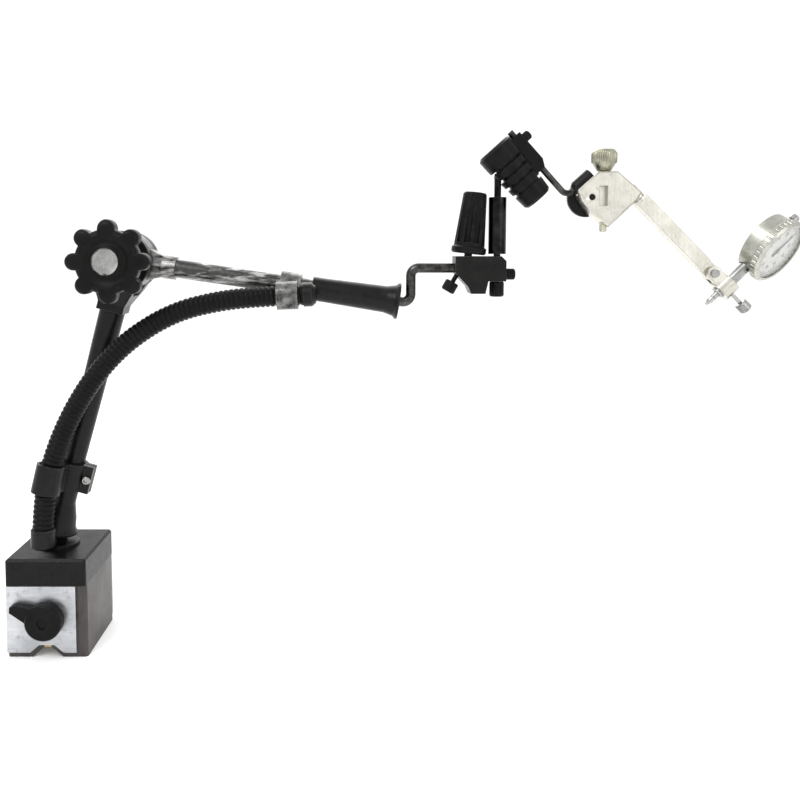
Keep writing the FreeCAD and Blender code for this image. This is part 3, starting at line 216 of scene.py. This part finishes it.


# The dark edge colours given to bright_steel, chrome_cream, knob_olive and case_satin are painted shade: a
# dark outline along their rounded edges.
LOOKS = {
    "base_steel": coated_metal(
        "base_steel_look", (0.036, 0.031, 0.030), (0.092, 0.083, 0.080), 0.42, cloud=60, depth=0.00003,
        coat=0.05, streak=(0, 0, 0), run=(0.5, 0.5, 0.12), runs_at=(0.40, 0.80), shine=0.3, metal=0.3),
    "brass": worn_metal("brass_look", (0.40, 0.27, 0.10), (0.62, 0.44, 0.18), 0.28, grain=(1, 0.1, 1)),
    "plate_silver": worn_metal(
        "plate_silver_look", (0.40, 0.41, 0.43), (0.62, 0.63, 0.65), 0.36, grain=(0.06, 1, 1), cloud=60,
        tarnish=(0.22, 0.22, 0.23)),
    "cover_black": coated_metal(
        "cover_black_look", (0.0035, 0.0033, 0.0032), (0.10, 0.10, 0.10), 0.3, cloud=110, chips=0.66, pits=900,
        depth=0.00012, coat=0.1),
    "bright_steel": worn_metal(
        "bright_steel_look", (0.26, 0.26, 0.25), (0.50, 0.50, 0.49), 0.24, grain=(1, 1, 0.08),
        edge_shade=(0.10, 0.10, 0.095)),
    "magnet": worn_metal("magnet_look", (0.12, 0.12, 0.13), (0.22, 0.22, 0.23), 0.4),
    "core_iron": worn_metal("core_iron_look", (0.20, 0.20, 0.21), (0.36, 0.36, 0.37), 0.4),
    "black_plastic": moulded(
        "black_plastic_look", (0.0035, 0.0035, 0.0034), 0.36, scuff=(0.07, 0.07, 0.068)),
    "arm_black": coated_metal(
        "arm_black_look", (0.0038, 0.0036, 0.0034), (0.11, 0.11, 0.105), 0.32, cloud=160, coat=0.08,
        shine=0.14),
    "arm_gray": coated_metal(
        "arm_gray_look", (0.035, 0.034, 0.033), (0.56, 0.56, 0.55), 0.3, cloud=210, chips=0.56,
        streak=(0, 0.147, 0), run=(0.2, 1, 1), runs_at=(0.49, 0.62), shine=0.5, metal=0.6),
    "clip_steel": worn_metal(
        "clip_steel_look", (0.03, 0.03, 0.03), (0.34, 0.34, 0.33), 0.3, grain=(1, 0.2, 1), cloud=120,
        tarnish=(0.01, 0.01, 0.01)),
    "rod_dark": worn_metal(
        "rod_dark_look", (0.022, 0.021, 0.020), (0.10, 0.10, 0.095), 0.3, grain=(0.1, 1, 1), cloud=200),
    "hose_black": moulded(
        "hose_black_look", (0.003, 0.003, 0.003), 0.34, depth=0.00008, grain=2600, scuff=(0.03, 0.03, 0.03)),
    "chrome_cream": worn_metal(
        "chrome_cream_look", (0.54, 0.525, 0.465), (0.69, 0.675, 0.615), 0.3, grain=(1, 1, 0.12), cloud=80,
        tarnish=(0.38, 0.37, 0.31), edge_shade=(0.16, 0.155, 0.12)),
    "knob_olive": worn_metal(
        "knob_olive_look", (0.30, 0.29, 0.22), (0.56, 0.55, 0.44), 0.36, grain=(1, 1, 0.1),
        tarnish=(0.14, 0.14, 0.09), edge_shade=(0.12, 0.12, 0.08)),
    "case_satin": worn_metal(
        "case_satin_look", (0.42, 0.42, 0.37), (0.57, 0.57, 0.52), 0.32, cloud=140,
        tarnish=(0.32, 0.32, 0.28), edge_shade=(0.10, 0.10, 0.08)),
    "gear_brass": worn_metal("gear_brass_look", (0.60, 0.42, 0.16), (0.84, 0.64, 0.30), 0.2),
    "hand_black": coated_metal("hand_black_look", (0.008, 0.008, 0.008), (0.2, 0.2, 0.2), 0.4, depth=0.00001),
    "dial_white": dial_card("dial_white_look", (0.62, 0.62, 0.57), (0.78, 0.78, 0.74)),
    "crystal_clear": clear_glass("crystal_clear_look"),
}
INK = dial_card("ink_look", (0.03, 0.03, 0.03), (0.012, 0.012, 0.012))
MARK = dial_card("mark_look", (0.55, 0.55, 0.53), (0.80, 0.80, 0.78))


# ------------------------------------------------------------------ mesh helpers
def stood(at, axis, across=(1, 0, 0)):
    """The matrix that takes +Z to an axis, and +X as near as it can to across, at a point."""
    axis = Vector(axis).normalized()
    side = axis.cross(Vector(across)).normalized()
    return Matrix.Translation(at) @ Matrix((side.cross(axis), side, axis)).transposed().to_4x4()


def make_piece(name, mesh, slot, body=None, material=None, replaced=()):
    """A shown object with a smooth mesh that rides on a body and may stand for CAD nodes."""
    mesh.materials.append(material or LOOKS[slot])
    mesh.polygons.foreach_set("use_smooth", [True] * len(mesh.polygons))
    piece = bpy.data.objects.new(name, mesh)
    SCENE.collection.objects.link(piece)
    if body:
        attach(piece, body)
    if replaced:
        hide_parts(*replaced)
    return piece


def lofted(name, rings):
    """A closed mesh through rings of points, with a flat face over each end."""
    count = len(rings[0])
    verts = [point for ring in rings for point in ring]
    faces = [tuple(reversed(range(count))), tuple(range((len(rings) - 1) * count, len(rings) * count))]
    for row in range(len(rings) - 1):
        for step in range(count):
            after = (step + 1) % count
            faces.append((row * count + step, row * count + after,
                          (row + 1) * count + after, (row + 1) * count + step))
    mesh = bpy.data.meshes.new(name)
    mesh.from_pydata(verts, [], faces)
    mesh.update()
    return mesh


def revolved(name, place, profile, count, swell=None):
    """Rings about the place's +Z from (radius, height) pairs in mm; swell adds to a radius."""
    rings = []
    for row, (radius, height) in enumerate(profile):
        ring = []
        for step in range(count):
            angle = 2 * math.pi * step / count
            size = radius + (swell(angle, row) if swell else 0)
            ring.append(place @ Vector((size * math.cos(angle), size * math.sin(angle), height)))
        rings.append(ring)
    return lofted(name, rings)


def in_mm(place):
    """A placement whose local units are millimetres."""
    return place @ Matrix.Scale(MM, 4)


def ease(node, width, angle=32):
    """Round a CAD node's sharp edges where they show; its own mesh stays as it is."""
    piece = NODES[node]
    weld = piece.modifiers.new("weld", "WELD")
    weld.merge_threshold = 0.000002
    bevel = piece.modifiers.new("ease", "BEVEL")
    bevel.width = width * MM
    bevel.segments = 3
    bevel.limit_method = "ANGLE"
    bevel.angle_limit = math.radians(angle)
    bevel.use_clamp_overlap = True
    normal = piece.modifiers.new("flats", "WEIGHTED_NORMAL")
    normal.weight = 100
    normal.keep_sharp = True


def joint_place(name):
    """Where a joint is, and its axis."""
    joint = JOINTS[name]
    return Vector(joint["pos_m"]), Vector(joint["axis"])


# ------------------------------------------------------------------ CAD nodes: materials and eased edges
def dress_nodes():
    """Every CAD node takes its slot's material or a look of its own, and the hard edges of all but the fine
    nodes are eased.
    """
    wide = {"top_cover": 0.7, "pole_left": 0.5, "pole_right": 0.5, "switch_knob": 0.7, "elbow_fork": 0.9,
            "elbow_tongue": 0.8, "clamp_block": 0.7, "ribbed_barrel": 0.45, "clamp_handle": 0.5,
            "second_clamp": 0.6, "stem_clamp": 0.5, "swivel_bar": 0.5, "lower_clip": 0.4, "upper_clip": 0.4}
    fine = {"hose", "crystal", "pole_spacer", "core_shoes", "magnet_core", "dial_face", "plate_screws",
            "front_plate", "rear_plate"}
    special = {"elbow_tongue": bare_neck("bare_neck_look", joint_place("elbow_bend")[0]),
               "fine_adjust_post": worn_metal("post_look", (0.008, 0.008, 0.008), (0.035, 0.035, 0.034), 0.24,
                                              (1, 1, 0.06), cloud=120)}
    for node, piece in NODES.items():
        piece.data.materials.clear()
        piece.data.materials.append(special.get(node, LOOKS[SLOT_OF[node]]))
        piece.data.polygons.foreach_set("use_smooth", [True] * len(piece.data.polygons))
        if node not in fine:
            ease(node, wide.get(node, 0.2))


# ------------------------------------------------------------------ star knob
def make_star_knob():
    """The moulded eight-lobed knob with rolled edges and a dished front."""
    low, high = (Vector(corner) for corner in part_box("star_knob"))
    at, _ = joint_place("knob_turn")
    thick = (high.y - low.y) / MM
    reach = (high.x - low.x) / 2 / MM
    lobe, waist = 5.2, reach - 5.7
    ring_at = reach - lobe
    back = Vector((at.x, high.y, at.z))

    def outline(angle):
        turn = (angle + math.pi / 8) % (math.pi / 4) - math.pi / 8
        inside = lobe ** 2 - (ring_at * math.sin(turn)) ** 2
        bump = ring_at * math.cos(turn) + math.sqrt(inside) if inside > 0 else 0
        return math.log(math.exp(waist * 1.3) + math.exp(bump * 1.3)) / 1.3 if bump else waist

    rows = [(1, 6.2, 0, 0.0), (1, 13.5, 0, 0.0), (0, 0, 3.4, 0.05), (0, 0, 1.7, 0.45), (0, 0, 0.6, 1.3),
            (0, 0, 0.05, 2.6), (0, 0, 0.05, thick - 3.4), (0, 0, 0.45, thick - 2.0), (0, 0, 1.4, thick - 0.9),
            (0, 0, 2.8, thick - 0.3), (0, 0, 4.4, thick - 0.1), (1, 13.6, 0, thick - 0.25),
            (1, 12.6, 0, thick - 0.9), (1, 11.6, 0, thick - 1.5), (1, 10.0, 0, thick - 1.5),
            (1, 9.5, 0, thick - 0.9), (1, 8.9, 0, thick - 0.15), (1, 8.0, 0, thick - 0.05)]
    place = in_mm(stood(back, (0, -1, 0)))
    count = 256
    rings = []
    for round_share, radius, inset, height in rows:
        ring = []
        for step in range(count):
            angle = 2 * math.pi * step / count
            size = radius if round_share else min(outline(angle), reach) - inset
            ring.append(place @ Vector((size * math.cos(angle), size * math.sin(angle), height)))
        rings.append(ring)
    make_piece("star_knob_moulded", lofted("star_knob_moulded", rings), "black_plastic", "elbow_knob",
               replaced=("star_knob",))


# ------------------------------------------------------------------ knurled clamp knob
def make_knurled_knob():
    """The second clamp's screw with its straight-knurled head."""
    low, high = (Vector(corner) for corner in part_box("second_clamp_screw"))
    at, _ = joint_place("bright_knob_turn")
    place = in_mm(stood((at.x, at.y, 0), (0, 0, 1)))
    foot, top = low.z / MM, high.z / MM
    head = (high.x - low.x) / 2 / MM
    profile = [(0.6, foot), (1.8, foot), (2.3, foot + 0.8), (2.3, top - 14.2), (4.0, top - 14.2),
               (4.6, top - 13.6), (head - 0.9, top - 9.4), (head - 0.3, top - 8.7), (head - 0.3, top - 3.0),
               (head - 0.5, top - 2.5), (head - 1.1, top - 1.5), (head - 2.0, top - 0.6), (5.2, top - 0.3),
               (4.8, top - 0.7), (0.6, top - 0.7)]

    def ridges(angle, row):
        return 0.26 * math.cos(40 * angle) if row in (7, 8) else 0

    mesh = revolved("clamp_knob_knurled", place, profile, 320, ridges)
    make_piece("clamp_knob_knurled", mesh, "knob_olive", "bright_knob", replaced=("second_clamp_screw",))


# ------------------------------------------------------------------ corrugated hose
HOSE_POINTS = [(-3.6, -21.0, 70.5), (-3.2, -20.6, 96.0), (3.4, -18.2, 126.0), (15.6, -16.8, 154.0),
               (32.0, -16.4, 179.0), (52.0, -16.0, 199.0), (79.0, -15.4, 215.4), (108.0, -15.0, 222.6),
               (136.0, -15.0, 225.2), (164.0, -15.0, 226.3)]


def spline_points(name, points, resolution):
    """Points along a smooth curve through a route given in mm."""
    curve = bpy.data.curves.new(name, "CURVE")
    curve.dimensions = "3D"
    spline = curve.splines.new("NURBS")
    spline.points.add(len(points) - 1)
    for spot, point in zip(spline.points, points):
        spot.co = (*(Vector(point) * MM), 1)
    spline.order_u = 3
    spline.use_endpoint_u = True
    curve.resolution_u = resolution
    holder = bpy.data.objects.new(name, curve)
    mesh = bpy.data.meshes.new_from_object(holder)
    found = [vert.co.copy() for vert in mesh.vertices]
    bpy.data.objects.remove(holder)
    return found


def make_hose():
    """The hose's annular corrugations along its curved route."""
    path = spline_points("hose_route", HOSE_POINTS, 64)
    lengths = [0.0]
    for before, after in zip(path, path[1:]):
        lengths.append(lengths[-1] + (after - before).length)
    pitch, rows_each = 3.1 * MM, 8
    ridges = int(lengths[-1] / pitch)
    count = 32
    rings = []
    index = 0
    for row in range(ridges * rows_each + 1):
        run = lengths[-1] * row / (ridges * rows_each)
        while index < len(path) - 2 and lengths[index + 1] < run:
            index += 1
        share = (run - lengths[index]) / (lengths[index + 1] - lengths[index])
        centre = path[index].lerp(path[index + 1], share)
        heading = (path[index + 1] - path[index]).normalized()
        side = heading.cross(Vector((0, 1, 0))).normalized()
        lift = side.cross(heading)
        crest = abs(math.sin(math.pi * row / rows_each)) ** 0.55
        radius = (5.55 + 1.0 * crest) * MM
        rings.append([centre + (side * math.cos(turn) + lift * math.sin(turn)) * radius
                      for turn in (2 * math.pi * step / count for step in range(count))])
    piece = make_piece("hose_corrugated", lofted("hose_corrugated", rings), "hose_black")
    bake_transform(piece)
    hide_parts("hose")


# ------------------------------------------------------------------ dial markings
def make_dial_marks():
    """The dial's graduations and plain numbers, printed on its face."""
    centre, normal = joint_place("bezel_turn")
    down = -Vector(JOINTS["plunger_travel"]["axis"])
    place = in_mm(stood(centre, normal, down))
    card = 4.36
    marks = bmesh.new()

    def bar(angle, inner, outer, wide, high=0.05):
        turn = Matrix.Rotation(-angle, 4, "Z")
        corners = [Vector((-inner, -wide / 2, card)), Vector((-outer, -wide / 2, card)),
                   Vector((-outer, wide / 2, card)), Vector((-inner, wide / 2, card))]
        low = [marks.verts.new(place @ (turn @ corner)) for corner in corners]
        top = [marks.verts.new(place @ (turn @ (corner + Vector((0, 0, high))))) for corner in corners]
        marks.faces.new(top[::-1])
        marks.faces.new(low)
        for step in range(4):
            marks.faces.new((low[step], top[step], top[(step + 1) % 4], low[(step + 1) % 4]))

    for tick in range(100):
        inner = 14.6 if tick % 10 == 0 else 15.6 if tick % 5 == 0 else 16.2
        bar(2 * math.pi * tick / 100, inner, 17.6, 0.34 if tick % 10 == 0 else 0.18)
    marks.normal_update()
    bmesh.ops.recalc_face_normals(marks, faces=marks.faces)
    mesh = bpy.data.meshes.new("dial_ticks")
    marks.to_mesh(mesh)
    marks.free()
    make_piece("dial_ticks", mesh, "hand_black", "bezel", INK)

    numbers = bmesh.new()
    upright = Matrix(((0, -1, 0), (1, 0, 0), (0, 0, 1))).to_4x4()
    for step in range(10):
        text = bpy.data.curves.new("number", "FONT")
        text.body = str(step * 10)
        text.size = 3.4
        text.align_x = "CENTER"
        text.align_y = "CENTER"
        text.extrude = 0.03
        holder = bpy.data.objects.new("number", text)
        shape = bpy.data.meshes.new_from_object(holder)
        angle = 2 * math.pi * step / 10
        spot = Vector((-math.cos(angle) * 12.0, math.sin(angle) * 12.0, card + 0.03))
        shape.transform(place @ Matrix.Translation(spot) @ upright)
        numbers.from_mesh(shape)
        bpy.data.objects.remove(holder)
    mesh = bpy.data.meshes.new("dial_numbers")
    numbers.to_mesh(mesh)
    numbers.free()
    make_piece("dial_numbers", mesh, "hand_black", "bezel", INK)


# ------------------------------------------------------------------ switch marks
def make_switch_marks():
    """The pale index lines let into the switch knob."""
    low, high = (Vector(corner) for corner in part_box("switch_knob"))
    at, _ = joint_place("switch_turn")
    place = in_mm(stood((at.x, low.y, at.z), (0, -1, 0)))
    marks = bmesh.new()
    for x, z, wide, tall, turn in ((-7.6, 1.8, 4.4, 0.9, 0.5), (-4.4, -4.4, 4.0, 0.9, 0.9)):
        spin = Matrix.Translation((x, z, -1.35)) @ Matrix.Rotation(turn, 4, "Z")
        bmesh.ops.create_cube(marks, size=1.0, matrix=place @ spin @ Matrix.Diagonal((wide, tall, 0.5, 1)))
    bmesh.ops.bevel(marks, geom=marks.edges[:], offset=0.1 * MM, segments=1)
    mesh = bpy.data.meshes.new("switch_marks")
    marks.to_mesh(mesh)
    marks.free()
    make_piece("switch_marks", mesh, "plate_silver", "magnet_switch", MARK)


# ------------------------------------------------------------------ stage, light and camera
def make_stage():
    """A pale floor that sweeps up behind the stand."""
    rows = [(-2.5, 0.0), (1.6, 0.0)]
    rows += [(1.6 + 1.2 * math.sin(angle), 1.2 - 1.2 * math.cos(angle))
             for angle in (math.pi / 2 * step / 16 for step in range(1, 17))]
    rows.append((2.8, 4.0))
    verts = [(x, y, z) for y, z in rows for x in (-4.5, 4.5)]
    faces = [(2 * row, 2 * row + 1, 2 * row + 3, 2 * row + 2) for row in range(len(rows) - 1)]
    mesh = bpy.data.meshes.new("floor")
    mesh.from_pydata(verts, [], faces)
    mesh.polygons.foreach_set("use_smooth", [True] * len(mesh.polygons))
    paint = Paint("floor_look", Roughness=0.9, Specular_IOR_Level=0.1, Emission_Color=(1, 1, 1, 1),
                  Emission_Strength=0.1)
    tone = paint.mix(paint.noise(3, 3.0), (0.93, 0.93, 0.93), (0.95, 0.95, 0.95))
    mesh.materials.append(paint.finish(tone))
    floor = bpy.data.objects.new("floor", mesh)
    SCENE.collection.objects.link(floor)


def add_light(name, at, towards, size, power):
    """A soft square light aimed at a point."""
    light = bpy.data.lights.new(name, "AREA")
    light.shape = "SQUARE"
    light.size = size
    light.energy = power
    holder = bpy.data.objects.new(name, light)
    holder.location = at
    holder.rotation_euler = (Vector(towards) - Vector(at)).to_track_quat("-Z", "Y").to_euler()
    SCENE.collection.objects.link(holder)


def make_light():
    """White surroundings, with a key light above the left, a fill at the right and a lamp behind."""
    world = bpy.data.worlds.new("studio")
    world.use_nodes = True
    world.node_tree.nodes["Background"].inputs["Color"].default_value = (1, 1, 1, 1)
    world.node_tree.nodes["Background"].inputs["Strength"].default_value = 1.0
    SCENE.world = world
    SCENE.view_settings.view_transform = "Standard"
    add_light("key", (-0.35, -0.75, 1.05), (0.15, 0, 0.2), 0.6, 7)
    add_light("fill", (0.95, -0.8, 0.55), (0.25, 0, 0.2), 0.6, 2)
    add_light("behind", (0.25, 0.9, 1.1), (0.2, 0, 0.2), 1.2, 8)


def make_camera():
    """The camera at the height of the arms, looking along +Y and a little down."""
    lens = bpy.data.cameras.new("camera")
    lens.lens = 37.8
    lens.sensor_width = 36.0
    lens.shift_x = 0.056
    lens.shift_y = -0.115
    lens.clip_start = 0.01
    camera = bpy.data.objects.new("camera", lens)
    camera.location = (0.1921, -0.5362, 0.2545)
    camera.rotation_euler = (math.pi / 2 - 0.07, 0, 0)
    SCENE.collection.objects.link(camera)
    SCENE.camera = camera


make_camera()
dress_nodes()
make_star_knob()
make_knurled_knob()
make_hose()
make_dial_marks()
make_switch_marks()
make_stage()
make_light()
